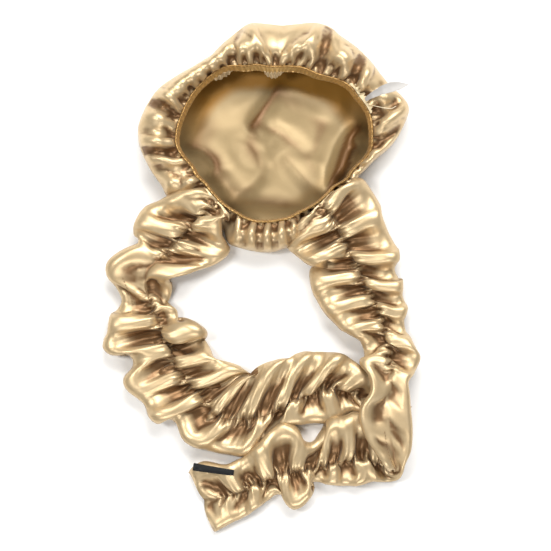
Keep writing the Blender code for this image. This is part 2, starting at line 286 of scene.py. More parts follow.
class Cloth:
    """A grid of satin, with open rows along it and closed columns round it. free is 1 where it can move,
    and still are the points of other cloth that it may come to lie on."""

    def __init__(self, start, free, still, bend_along, bend_round):
        self.all = np.concatenate([start.reshape(3, -1), still.T], 1).astype(real)
        self.at = self.all[:, :free.size].reshape(start.shape)
        self.before = self.at.copy()
        self.free = free.astype(real)
        self.all_free = np.concatenate([self.free.ravel(), np.zeros(len(still), real)])
        self.rows, self.columns = free.shape
        self.bend_along, self.bend_round = bend_along, bend_round

    def cut(self, along, around):
        """Sets each thread's length. along has a row less than the grid, around is as big as the grid."""
        along, around = along.astype(real), around.astype(real)
        middle_round = (around[:-1] + around[1:]) / 2
        middle_along = (along + np.roll(along, -1, 1)) / 2
        self.slant = np.sqrt(middle_along ** 2 + middle_round ** 2)
        way = np.concatenate([np.zeros((1, self.columns), real), np.cumsum(along, 0)])
        self.along = {}
        for m in {1} | {m for m, _ in self.bend_along}:
            self.along[m] = np.zeros((self.rows, self.columns), real)
            self.along[m][:self.rows - m] = way[m:] - way[:-m]
        steps = {1} | {m for m, _ in self.bend_round}
        self.around = {m: sum(np.roll(around, -j, 1) for j in range(m)) for m in steps}

    def threads_along(self, m, share, only_push=False):
        at, free, rest = self.at, self.free, self.along[m]
        for o in (0, m):
            n = (self.rows - o) // (2 * m)
            e = o + n * 2 * m
            x = at[:, o:e].reshape(3, n, 2 * m, -1)
            w = free[o:e].reshape(n, 2 * m, -1)
            r = rest[o:e].reshape(n, 2 * m, -1)
            pull(x[:, :, :m], x[:, :, m:], w[:, :m], w[:, m:], r[:, :m], share, only_push)
            f = self.rows - m
            if f > e:
                pull(at[:, e:f], at[:, e + m:], free[e:f], free[e + m:], rest[e:f], share, only_push)

    def threads_round(self, m, share, only_push=False):
        at, free, rest, e = self.at, self.free, self.around[m], self.columns - m
        for o, f in ((0, self.columns), (m, e)):
            x = at[:, :, o:f].reshape(3, self.rows, -1, 2 * m)
            w = free[:, o:f].reshape(self.rows, -1, 2 * m)
            r = rest[:, o:f].reshape(self.rows, -1, 2 * m)
            pull(x[..., :m], x[..., m:], w[..., :m], w[..., m:], r[..., :m], share, only_push)
        pull(at[:, :, e:], at[:, :, :m], free[:, e:], free[:, :m], rest[:, e:], share, only_push)

    def threads_slant(self, share):
        for o in (0, 1):
            e = o + 2 * ((self.rows - o) // 2)
            a, b = self.at[:, o:e:2], self.at[:, o + 1:e:2]
            wa, wb = self.free[o:e:2], self.free[o + 1:e:2]
            r = self.slant[o:e:2]
            for p, q, wp, wq in ((a, b, wa, wb), (b, a, wb, wa)):
                pull(p[:, :, :-1], q[:, :, 1:], wp[:, :-1], wq[:, 1:], r[:, :-1], share)
                pull(p[:, :, -1:], q[:, :, :1], wp[:, -1:], wq[:, :1], r[:, -1:], share)

    def relax(self, slant):
        for m, share in self.bend_along:
            self.threads_along(m, share, True)
        for m, share in self.bend_round:
            self.threads_round(m, share, True)
        self.threads_slant(slant)
        self.threads_round(1, 1.0)
        self.threads_along(1, 1.0)


def near(points, reach):
    """All pairs of points nearer than reach."""
    c = np.floor((points - points.min(0)) / reach).astype(np.int64) + 1
    nx, ny, nz = c.max(0) + 2
    cell = (c[:, 0] * ny + c[:, 1]) * nz + c[:, 2]
    order = np.argsort(cell, kind="stable")
    cell = cell[order]
    full, start, count = np.unique(cell, return_index=True, return_counts=True)
    size = int(nx * ny * nz)
    lookup = np.full(size + 1, -1, np.int32)
    lookup[full] = np.arange(len(full))
    first, second = [], []

    def meet(who, cells):
        k = count[cells]
        first.append(np.repeat(who, k))
        skipped = np.concatenate([[0], np.cumsum(k)[:-1]])
        second.append(np.repeat(start[cells] - skipped, k) + np.arange(k.sum()))

    who = np.arange(len(points))
    meet(who, np.repeat(np.arange(len(full)), count))
    later = second[0] > first[0]
    first[0], second[0] = first[0][later], second[0][later]
    for f in ((x * ny + y) * nz + z for x in (-1, 0, 1) for y in (-1, 0, 1) for z in (-1, 0, 1)):
        if f > 0:
            t = lookup[np.minimum(cell + f, size)]
            meet(who[t >= 0], t[t >= 0])
    first, second = np.concatenate(first), np.concatenate(second)
    gap = points[order[first]] - points[order[second]]
    close = np.einsum("ij,ij->i", gap, gap) < reach * reach
    return order[first[close]], order[second[close]]


def settle(cloth, sewn, may_touch, drawn, slant=0.4):
    """The cloth falls and folds on the table and on itself, while sewn(step) moves what is stitched and
    drawn(step) holds it softly in place."""
    n, at, everything, total = cloth.free.size, cloth.at, cloth.all, cloth.all.shape[1]
    loose = cloth.free > 0
    for step in range(SOLVER_STEPS):
        going = (at - cloth.before) * real(DRAG)
        going *= np.minimum(1, TOP_SPEED / (lengths(going) + 1e-9))
        cloth.before[:] = at
        at += going
        at[2] -= real(WEIGHT) * loose
        sewn(step)
        drawn(step)
        if step % 3 == 0:
            i, j = near(everything.T, LAYER_GAP * WATCHED)
            i, j = np.minimum(i, j), np.maximum(i, j)
            own = j < n
            good = (i < n) & ~own
            good[own] = may_touch(i[own], j[own])
            i, j = i[good], j[good]
        for k in range(PASSES):
            cloth.relax(slant)
            if k % 2 == 0:
                d = everything[:, i] - everything[:, j]
                length = lengths(d) + 1e-9
                m = length < LAYER_GAP
                a, b = i[m], j[m]
                wa, wb = cloth.all_free[a], cloth.all_free[b]
                d = d[:, m] * ((LAYER_GAP - length[m]) / length[m] / np.maximum(wa + wb, 1) * 0.7)
                for q in range(3):
                    push = np.bincount(a, d[q] * wa, total) - np.bincount(b, d[q] * wb, total)
                    everything[q] += push.astype(real)
            at[2][(at[2] < ON_TABLE) & loose] = ON_TABLE
        resting = at[2] < RESTING
        for q in (0, 1):
            cloth.before[q][resting] = cloth.before[q][resting] * SLIDING + at[q][resting] * (1 - SLIDING)


def gathers(count, cells, seed):
    """The uneven zigzag of a gathered seam, from -1 to 1 in each cell, and the lean of each gather."""
    chance = np.random.default_rng(seed)
    marks = np.linspace(0, cells, count + 1)
    turns = walked(chance.uniform(0.6, 1.4, count))
    phase = np.interp(np.arange(cells), marks, turns / turns[-1] * count) * 2 * math.pi
    lean = np.interp(np.arange(cells), marks, np.append(chance.uniform(-0.7, 0.7, count), 0))
    wave = np.sin(phase)
    return np.sign(wave) * np.abs(wave) ** 0.8, lean


def outward(points):
    """The direction that each point of a grid faces."""
    along, across = np.gradient(points, axis=1), np.roll(points, -1, 2) - np.roll(points, 1, 2)
    out = np.cross(along, across, axis=0)
    return out / (lengths(out) + 1e-9)


def bulge(cloth, push, where):
    """Pushes the cloth out along its own face, as the air under it does."""
    cloth.at += outward(cloth.at) * real(push) * where * cloth.free


turn = np.arange(CROWN_COLUMNS) * 2 * math.pi / CROWN_COLUMNS
toward = np.stack([np.cos(turn), np.sin(turn)])
_, mouth, rise, puff, lean = round_at(np.degrees(turn))
widest = np.interp(np.degrees(turn), OUTLINE[:, 0], OUTLINE[:, 1], period=360)
widest = sum(np.roll(widest, k) for k in (-2, -1, 0, 1, 2)) / 5
rim_radius = mouth - SEWN_AT * np.sin(np.radians(lean)) + 2.0
rim_height = rise - SEWN_AT * np.cos(np.radians(lean))
outline = np.array([
    (a * rim_radius + b * widest, np.maximum(c * rim_height + d * (puff - 1), 1.0))
    for a, b, c, d in OVER_THE_PUFF
])
outline = smooth_line(outline, 24)  # points along it, radius and height, columns
steps = np.hypot(*np.diff(outline, axis=0).swapaxes(0, 1))
way = np.concatenate([np.zeros((1, CROWN_COLUMNS)), np.cumsum(steps, 0)])
profile = np.zeros((2, CROWN_RINGS, CROWN_COLUMNS))
for j in range(CROWN_COLUMNS):
    stops = np.linspace(0, way[-1, j], CROWN_RINGS)
    profile[0, :, j] = np.interp(stops, way[:, j], outline[:, 0, j])
    profile[1, :, j] = np.maximum(np.interp(stops, way[:, j], outline[:, 1, j]), LAID)
from_rim = np.linspace(0, 1, CROWN_RINGS)[:, None] * way[-1]
flat_radius = from_rim[::-1] + MIDDLE * widest
turned_under = profile[0].argmax(0)  # the ring that makes the outline
turned_under = sum(np.roll(turned_under, k) for k in range(-12, 13)) / 25  # without steps
ring = np.arange(CROWN_RINGS)[:, None]
# 1 on the puff's upper side, and 1 on the cloth that is turned in under it, down to 0 between them
on_top = np.clip(from_rim / 9, 0, 1) * np.clip((turned_under - ring) / 3, 0, 1)
inside = np.clip((ring - turned_under - 2) / 4, 0, 1)
round_x, round_y = profile[0] * toward[0], profile[0] * toward[1]
lifted = on_top * fold_height(round_x + BONNET_X, round_y + BONNET_Y, PUFF_FOLDS, 0.3)
square = np.arange(-112, 136, 2.0)  # the base's folds, softened on a square grid
folded = fold_height(*np.meshgrid(square, square + BONNET_Y - BONNET_X, indexing="ij"), BASE_FOLDS, 1.0)
base_folds = np.maximum(folded, 0)
for axis in (0, 1) * 3:
    base_folds = (np.roll(base_folds, 1, axis) + 2 * base_folds + np.roll(base_folds, -1, axis)) / 4


def base_height(x, y):
    """The height of the folded base, x and y from the middle of the mouth, round which the grid lies."""
    cell_x, cell_y = (np.clip((at + BONNET_X - square[0]) / 2, 0, len(square) - 2) for at in (x, y))
    a, b = cell_x.astype(int), cell_y.astype(int)
    part_x, part_y = cell_x - a, cell_y - b
    near_side = base_folds[a, b] * (1 - part_y) + base_folds[a, b + 1] * part_y
    far_side = base_folds[a + 1, b] * (1 - part_y) + base_folds[a + 1, b + 1] * part_y
    return 2.0 * (near_side * (1 - part_x) + far_side * part_x)


lifted += inside * base_height(round_x, round_y)
laid_out = np.stack([round_x, round_y, np.maximum(profile[1] + lifted, LAID)])
free = np.ones(profile[0].shape)
free[0] = 0
free[(inside >= 1) & (profile[0] < 0.8 * widest)] = 0
chance = np.random.default_rng(5)
start = laid_out + chance.normal(0, 0.08, laid_out.shape) * free
crown_cloth = Cloth(start, free, np.zeros((0, 3)), ((2, 0.3), (4, 0.2)), ((2, 0.3), (4, 0.15)))
zigzag, gather_lean = gathers(CROWN_COLUMNS // GATHER, CROWN_COLUMNS, 7)
laid_flat = (flat_radius * toward[:, None]).reshape(2, -1)
crown_along = lengths(np.diff(laid_out, axis=1))
laid_round = lengths(np.roll(laid_out, -1, 2) - laid_out)
# the rim's spare cloth, which its gathers take up, and how firmly the cloth is held where it is laid out
spare = (flat_radius[:1] / profile[0, :1] - 1) * 0.7 * np.exp(-(from_rim / 8) ** 1.5)
held_there = (0.03 + 0.37 * np.clip((from_rim - 5) / 9, 0, 1)) * free


def crown_sewn(step):
    round_now = laid_round * (1 + spare * min(1, (step + 1) / RIM_GROWTH_STEPS))
    crown_cloth.cut(crown_along, round_now)
    size = RIM_SIZE * zigzag * np.sqrt(np.maximum(round_now[0] ** 2 - laid_round[0] ** 2, 0))
    crown_cloth.at[:2, 0] = toward * (rim_radius + size * 0.35 * np.cos(gather_lean))
    crown_cloth.at[2, 0] = rim_height + size * 0.75


def crown_drawn(step):
    bulge(crown_cloth, 0.03, on_top)
    crown_cloth.at += ((laid_out - crown_cloth.at) * held_there).astype(real)


def crown_may_touch(i, j):
    apart = np.hypot(*(laid_flat[:, i] - laid_flat[:, j]))
    return (apart > LAYER_GAP * APART) & ((i >= 2 * CROWN_COLUMNS) | (j >= 2 * CROWN_COLUMNS))


settle(crown_cloth, crown_sewn, crown_may_touch, crown_drawn, slant=0.05)
crown_points = crown_cloth.at.astype(float) + np.array([BONNET_X, BONNET_Y, 0])[:, None, None]


def hollows(points):
    """How deep each point lies in a crease of the cloth, from 0 to 1, which sets how much painted shade
    darkens it.
    """
    out, deep = outward(points), 0
    for reach, depth in ((1, 0.5), (2, 1.2), (4, 3.0)):
        row = np.arange(points.shape[1])
        before, after = points[:, np.maximum(row - reach, 0)], points[:, np.minimum(row + reach, row[-1])]
        beside = np.roll(points, reach, 2) + np.roll(points, -reach, 2)
        deep = deep + np.clip((((before + after + beside) / 4 - points) * out).sum(0) / depth, 0, 1)
    return np.clip(deep / 1.6, 0, 1)


def soften(piece):
    softened = piece.modifiers.new("soft", "SUBSURF")
    softened.levels = softened.render_levels = 1


def vertex_values(mesh, name, values):
    mesh.attributes.new(name, "FLOAT", "POINT").data.foreach_set("value", values.ravel().astype(real))


def cut_map(mesh, corners):
    mesh.uv_layers.new(name="cut").data.foreach_set("uv", corners.astype(real).ravel())


def sew_grid(name, points, flat, painted_edge_shade=0.0, close_last=False):
    """A smooth mesh of the grid points (3, rows, columns), in millimetres, closed round its columns, with
    its flat cut in metres as UV map. The argument after it is how much painted shade darkens the points
    near a folded edge. close_last closes the last row over its middle, along the folded base."""
    rows, columns = points.shape[1:]
    index = np.arange(rows * columns).reshape(rows, columns)
    quads = np.stack([index[:-1], index[1:], np.roll(index[1:], -1, 1), np.roll(index[:-1], -1, 1)], -1)
    faces = quads.reshape(-1, 4).tolist()
    corners = (points.reshape(3, -1).T * 0.001).tolist()
    wide = np.roll(flat, -1, 2)
    wide[:, :, -1] = 2 * flat[:, :, -1] - flat[:, :, -2]
    uv = np.stack([flat[:, :-1], flat[:, 1:], wide[:, 1:], wide[:, :-1]], -1)  # 2, rows - 1, columns, 4
    uv = np.moveaxis(uv, 0, -1).reshape(-1, 2) * 0.001
    ring, ring_at, ring_flat = index[-1].tolist(), points[:, -1].T, flat[:, -1].T
    uv, base, cap, cut_at = uv.tolist(), flat[:, -1].mean(1), [], dict(zip(ring, ring_flat))
    while close_last and len(ring) % 2 == 0:  # each ring inwards has half the corners
        middle = ring_at.mean(0)
        half_at = middle + (ring_at[::2] - middle) * INWARDS
        half_at[:, 2] = LAID + base_height(half_at[:, 0] - BONNET_X, half_at[:, 1] - BONNET_Y)
        half_flat = base + (ring_flat[::2] - base) * INWARDS
        half = list(range(len(corners), len(corners) + len(half_at)))
        corners += (half_at * 0.001).tolist()
        cut_at.update(zip(half, half_flat))
        for k in range(len(half)):
            a, b, c = ring[2 * k], ring[2 * k + 1], ring[(2 * k + 2) % len(ring)]
            d, e = half[k], half[(k + 1) % len(half)]
            cap += [(a, d, b), (d, e, b), (b, e, c)]
        ring, ring_at, ring_flat = half, half_at, half_flat
    if close_last:
        cap.append(ring[::-1])
    faces += cap
    uv += [(cut_at[corner] * 0.001).tolist() for face in cap for corner in face]
    mesh = bpy.data.meshes.new(name)
    mesh.from_pydata(corners, [], faces)
    cut_map(mesh, np.array(uv))
    # painted shade: the crease depth, or the darkening along a folded edge where that is greater, is stored
    # for the colour
    deep = np.zeros(len(corners))
    deep[:rows * columns] = np.maximum(hollows(points), painted_edge_shade).ravel()
    vertex_values(mesh, "painted_crease_and_edge_shade", deep)
    mesh.shade_smooth()
    return in_scene(name, mesh)


# painted shade: the colours that the reverse inside the mouth, the wall under the band and the creases are
# darkened towards
REVERSE_AND_PAINTED_SHADE, WALL_SHADE, CREASE_SHADE = "9d8760", "a0722c", "5e370c"
GLOSS = 0.66                                # how metal-like the satin's face is


def satin(name, light, dark, roughness, crumple):
    """Woven polyester satin: long floating threads give it a soft metal-like gloss along its folds. Its
    reverse, which shows inside the mouth, is duller, and darker partly in its own tone and partly as
    painted shade: the attribute reverse is 1 there. crumple is how many sharp creases it has to the
    metre, across and along."""
    material, shader = new_material(name)
    uv = node(material, "UVMap", {"uv_map": "cut"}).outputs["UV"]
    turned = node(material, "Mapping", None, Vector=uv, Rotation=(0, 0, math.radians(38))).outputs["Vector"]
    # thread spacing is 0.1 mm in the real cloth, drawn four times as coarse so that it shows
    weave = node(material, "TexWave", {"wave_type": "BANDS"}, Vector=turned, Scale=340.0, Distortion=1.5,
                 Detail=1.0)
    slub = node(material, "TexNoise", None, Vector=uv, Scale=60.0, Detail=4.0, Roughness=0.6)
    crinkle = node(material, "TexNoise", None, Vector=uv, Scale=26.0, Detail=3.0, Roughness=0.55)
    # sharp creases about 20 mm apart, which the sewing leaves in a cloth this thin
    stretched = node(material, "Mapping", None, Vector=uv, Scale=crumple + (1.0,)).outputs["Vector"]
    creased = node(material, "TexNoise", {"noise_type": "RIDGED_MULTIFRACTAL"}, Vector=stretched, Scale=1.0,
                   Detail=1.5, Roughness=0.4)
    reverse, painted_wall_shade, painted_crease_and_edge_shade, plain, pleats = (
        node(material, "Attribute", {"attribute_name": kind}).outputs["Fac"]
        for kind in ("reverse", "painted_wall_shade", "painted_crease_and_edge_shade", "plain", "pleats")
    )
    tone = node(material, "Mix", MIXED, i0=slub.outputs["Fac"], i6=linear(light), i7=linear(dark))
    threads = node(material, "MixRGB", {"blend_type": "MULTIPLY"}, Fac=0.08, Color1=tone.outputs[2],
                   Color2=weave.outputs["Color"])
    # the reverse inside the mouth: partly its own duller, darker tone, partly painted shade of the hollow it
    # lies in
    shaded = node(material, "Mix", MIXED, i0=reverse, i6=threads.outputs[0], i7=linear(REVERSE_AND_PAINTED_SHADE))
    # painted shade: the wall under the band is coloured as if lit only by the gold of the cloth across from
    # it
    wall = node(material, "Mix", MIXED, i0=painted_wall_shade, i6=shaded.outputs[2], i7=linear(WALL_SHADE))
    # painted shade: in its creases and along its folded edges the cloth's colour is darkened towards brown,
    # standing in for the shade and the gold reflection that fall there
    painted_shade_share = node(material, "Math", {"operation": "MULTIPLY"}, i0=painted_crease_and_edge_shade, i1=0.85).outputs[0]
    node(material, "Mix", MIXED, shader.inputs["Base Color"], i0=painted_shade_share, i6=wall.outputs[2],
         i7=linear(CREASE_SHADE))
    rough = node(material, "MapRange", None, Value=crinkle.outputs["Fac"], i1=0.3, i2=0.7,
                 i3=roughness - 0.04, i4=roughness + 0.04)
    node(material, "Math", {"operation": "MULTIPLY_ADD"}, shader.inputs["Roughness"], i0=reverse, i1=0.05,
         i2=rough.outputs[0])
    node(material, "MapRange", None, shader.inputs["Metallic"], Value=reverse, i1=0.0, i2=1.0, i3=GLOSS,
         i4=GLOSS * 0.6)
    soft = node(material, "Bump", None, Height=crinkle.outputs["Fac"], Distance=0.0006, Strength=0.5)
    calm = node(material, "MapRange", None, Value=plain, i1=0.0, i2=1.0, i3=0.7, i4=0.2)
    sharp = node(material, "Bump", None, Height=creased.outputs["Fac"], Distance=0.0035,
                 Strength=calm.outputs[0], Normal=soft.outputs[0])
    # small pleats about 7 mm of cloth apart run out from a shirred seam: pleats is 1 at the seam
    pleated = node(material, "TexWave", {"wave_type": "BANDS", "bands_direction": "Y"}, Vector=uv,
                   Scale=42.0, Distortion=4.0, Detail=1.0, Detail_Scale=0.5)
    pleat = node(material, "Bump", None, Height=pleated.outputs["Fac"], Distance=0.0025, Strength=pleats,
                 Normal=sharp.outputs[0])
    node(material, "Bump", None, shader.inputs["Normal"], Height=weave.outputs["Fac"], Distance=0.00003,
         Strength=0.55, Normal=pleat.outputs[0])
    shader.inputs["Sheen Weight"].default_value = 0.12
    shader.inputs["Sheen Roughness"].default_value = 0.4
    shader.inputs["Sheen Tint"].default_value = linear("fff0d6")
    shader.inputs["Anisotropic"].default_value = 0.35
    return material


champagne = satin("champagne_polyester_satin", "dcc59e", "c6aa7e", 0.42, (32.0, 32.0))
# painted shade: a thin dark line along the crown's outline, where the puff turns in under itself
turned = 0.45 * np.exp(-((ring - turned_under - 0.7) / 1.6) ** 2)
crown = sew_grid("satin_crown", crown_points, laid_flat.reshape(2, CROWN_RINGS, CROWN_COLUMNS), turned,
                 close_last=True)
crown.data.materials.append(champagne)
# painted shade on the wall under the band, strongest at the back, away from the window
painted_wall_shade = np.clip((profile[0] / mouth - 0.72) / 0.1, 0, 1) * np.clip(toward[1] * 1.4 + 0.2, 0.15, 1)
for name, rings, rest in (("reverse", inside, 1.0), ("painted_wall_shade", inside * painted_wall_shade, 0.0)):
    share = np.full(len(crown.data.vertices), rest)
    share[:inside.size] = rings.ravel()
    vertex_values(crown.data, name, share)
soften(crown)
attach(crown, "root")
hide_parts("crown")

# -------------------------------------------------------------------------------- band
# The elastic runs in a narrow casing of the same satin, folded over it and stitched along both edges. It
# stands round the mouth, leans in over the base at the back, and the elastic puckers its cloth finely.

BAND_COLUMNS, BAND_SIDES = 720, 20
BAND_DEPTH, BAND_THICK = 9.0, 2.0
PUCKERS = 118
STITCH_ROWS = (1.8, 7.4)                    # millimetres down from the casing's top edge


def band_surface(turns, u, w):
    """Points of the casing: u millimetres down from its top edge, and w out from its middle surface."""
    _, mouth_now, rise_now, _, lean_now = round_at(np.degrees(turns))
    lean_now = np.radians(lean_now)
    out = mouth_now - u * np.sin(lean_now) + w * np.cos(lean_now)
    up = rise_now - u * np.cos(lean_now) - w * np.sin(lean_now)
    return np.stack([BONNET_X + out * np.cos(turns), BONNET_Y + out * np.sin(turns), up])


band_turn = np.arange(BAND_COLUMNS) * 2 * math.pi / BAND_COLUMNS
puckered, _ = gathers(PUCKERS, BAND_COLUMNS, 21)
puckered_too, _ = gathers(PUCKERS - 13, BAND_COLUMNS, 22)
section = np.arange(BAND_SIDES) * 2 * math.pi / BAND_SIDES
rows = []
for phi in section:
    u = BAND_DEPTH / 2 * (1 - np.sign(math.cos(phi)) * abs(math.cos(phi)) ** 0.55)
    w = BAND_THICK / 2 * np.sign(math.sin(phi)) * abs(math.sin(phi)) ** 0.5
    rolled = math.exp(-((u - 0.4) / 0.7) ** 2) + math.exp(-((u - BAND_DEPTH + 0.4) / 0.7) ** 2)
    stitched = sum(math.exp(-((u - row) / 0.35) ** 2) for row in STITCH_ROWS)
    ripple = 0.22 * (1 - rolled) * puckered + 0.2 * rolled * puckered_too
    thick = w * (1 + 0.45 * rolled - 0.5 * stitched) + (-1 if w < 0 else 1) * ripple * abs(w)
    edge = 0.16 * rolled * puckered * (-1 if u < BAND_DEPTH / 2 else 1)
    rows.append(band_surface(band_turn, u + edge, thick))
band_points = np.stack(rows, 1)  # 3, section, columns
across = walked(np.linalg.norm(np.diff(band_points[:, :, 0], axis=1), axis=0))
band_length = float(np.linalg.norm(np.diff(band_points[:, 0], axis=1), axis=0).sum())
cloth_along = np.linspace(0, band_length * 1.5, BAND_COLUMNS)
band_flat = np.stack(np.broadcast_arrays(cloth_along[:, None], across[None]))
band = sew_grid("mouth_casing", np.concatenate([band_points, band_points[:, :, :1]], 2).swapaxes(1, 2),
                np.concatenate([band_flat, band_flat[:, -1:]], 1))
bpy.ops.object.select_all(action="DESELECT")
band.select_set(True)
bpy.context.view_layer.objects.active = band
bpy.ops.object.mode_set(mode="EDIT")
bpy.ops.mesh.select_all(action="SELECT")
bpy.ops.mesh.remove_doubles(threshold=0.00001)
bpy.ops.mesh.normals_make_consistent(inside=False)
bpy.ops.object.mode_set(mode="OBJECT")
band.data.materials.append(satin("champagne_satin_casing", "d9b475", "bd9352", 0.34, (20.0, 20.0)))
soften(band)
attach(band, "root")
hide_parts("band")

# -------------------------------------------------------------------------------- left tie
# A long tube of the satin, shirred down its middle with elastic thread so that both sides ruffle. It is
# sewn in at the band, runs down the table and turns under the other tie, where its end lies hidden.

TIE_COLUMNS = 48
TIE_THREAD, TIE_CROSS_THREAD = 2.6, 3.4     # millimetres of cloth from point to point, along and across
TURNED_BACK = 3.0                           # how far inside its outline the cloth turns back
LOOSE, SEAM_FADE = 1.04, 3.0                # spare length of the edges, and how fast the seam's fades
SEAM_GROWS = 0.62                           # share of the solver's steps in which the seam's cloth grows
BENEATH = 66.0                              # the tie may come to lie on cloth this near to its seam
UNDERSIDE = 200.0                           # where the flat cut of the lower layer starts
# A row for each fold of the ruffle: the shirred seam's place, the left edge's, the right edge's, each as
# x, y and height, and how many times its gathered length the cloth at the seam is long.
LEFT_TIE = (
    (-47, 80, 35, -35, 67, 35, -59, 93, 35, 1.5), (-56, 71, 35, -36, 59, 34, -78, 91, 36, 1.7),
    (-67, 61, 33, -38, 62, 38, -108, 85, 22, 1.8), (-78, 52, 30, -43, 43, 22, -127, 76, 16, 1.8),
    (-88, 42, 27, -33, 30, 8, -138, 59, 20, 1.8), (-102, 26, 24, -53, 12, 16, -140, 43, 12, 1.4),
    (-116, 13, 24, -76, 5, 22, -136, 31, 16, 1.1), (-124, 4, 23, -98, -1, 26, -169, 15, 18, 1.0),
    (-127, -12, 17, -96, -9, 12, -163, -5, 8, 1.05), (-122, -27, 15, -102, -25, 6, -153, -27, 12, 1.4),
    (-118, -37, 15, -103, -32, 12, -161, -39, 6, 1.8), (-114, -46, 16, -92, -40, 16, -166, -52, 18, 1.8),
    (-111, -56, 17, -89, -50, 14, -169, -65, 8, 1.8), (-107, -65, 17, -57, -57, 24, -174, -79, 10, 1.8),
    (-102, -75, 15, -65, -69, 10, -157, -89, 14, 1.8), (-98, -86, 15, -57, -79, 8, -143, -98, 6, 1.8),
    (-94, -97, 15, -50, -93, 16, -151, -115, 16, 1.8), (-89, -108, 15, -36, -97, 12, -141, -129, 6, 1.8),
    (-81, -118, 15, -21, -101, 16, -130, -139, 10, 1.8), (-70, -127, 14, -10, -109, 8, -121, -156, 18, 1.8),
    (-63, -136, 14, -7, -113, 8, -109, -163, 12, 1.8), (-57, -145, 13, -6, -113, 12, -94, -160, 8, 1.8),
    (-52, -152, 13, -3, -111, 22, -85, -179, 16, 1.6), (-38, -157, 14, 3, -104, 20, -62, -189, 6, 1.5),
    (-21, -157, 16, 14, -95, 14, -38, -195, 10, 1.4), (-1, -155, 18, 30, -89, 24, -15, -195, 6, 1.4),
    (19, -147, 18, 43, -85, 14, 8, -181, 8, 1.7), (32, -140, 18, 56, -83, 22, 26, -168, 8, 1.8),
    (45, -134, 17, 70, -83, 16, 43, -162, 12, 1.8), (58, -128, 16, 87, -86, 26, 63, -162, 8, 1.8),
    (74, -125, 15, 100, -93, 18, 81, -160, 10, 1.8), (90, -126, 12, 113, -106, 24, 96, -151, 6, 1.5),
    (106, -133, 9, 123, -122, 14, 108, -150, 6, 1.3), (122, -141, 7, 138, -133, 8, 118, -159, 5, 1.2),
    (138, -153, 6, 153, -139, 6, 131, -170, 5, 1.0), (151, -164, 6, 165, -146, 6, 146, -182, 5, 1.0),
)


